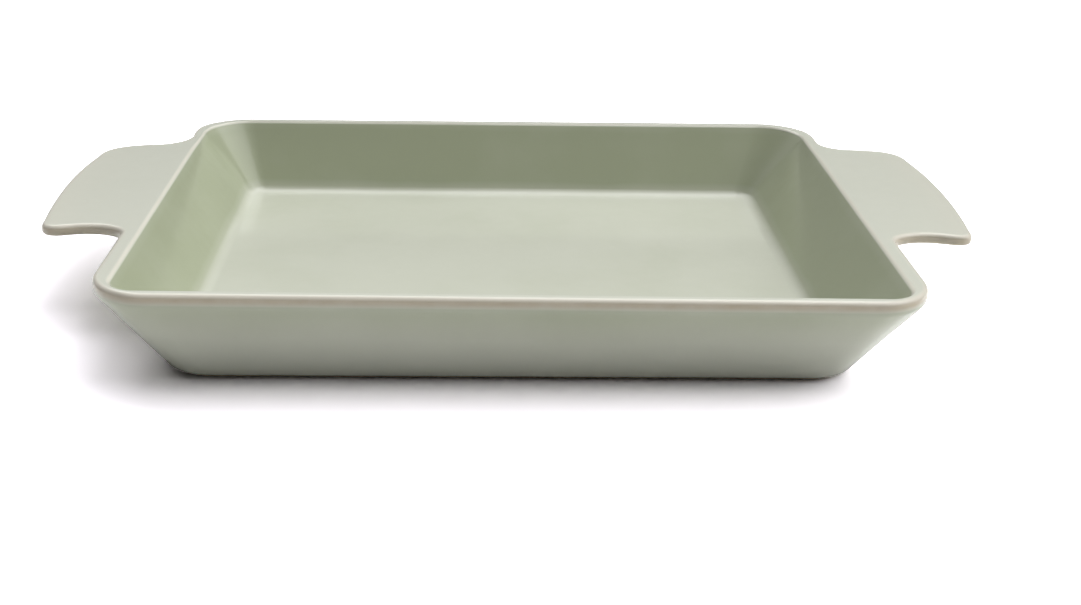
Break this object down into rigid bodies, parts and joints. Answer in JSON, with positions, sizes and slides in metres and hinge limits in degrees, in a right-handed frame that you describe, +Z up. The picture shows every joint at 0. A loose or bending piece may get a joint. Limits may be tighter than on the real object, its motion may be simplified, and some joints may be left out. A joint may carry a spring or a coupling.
{
  "type": "baking dish",
  "caption": "Shallow rectangular glazed stoneware baking dish with flared walls, a soft flat lip, a flat tab handle at each short end and a bare foot ring.",
  "frame": {"origin": "middle of the footprint, on the surface that the dish stands on", "axes": "+X along the dish to the right handle, +Y to the far long side, +Z up"},
  "size_m": [0.422, 0.26, 0.047],
  "materials": {
    "glaze": "satin sage-green stoneware glaze that breaks warm tan on the outer edges",
    "bare_clay": "unglazed buff stoneware, fine and matt"
  },
  "bodies": {
    "root": {"dish_body": "glaze", "left_handle": "glaze", "right_handle": "glaze", "foot_ring": "bare_clay"}
  },
  "joints": []
}
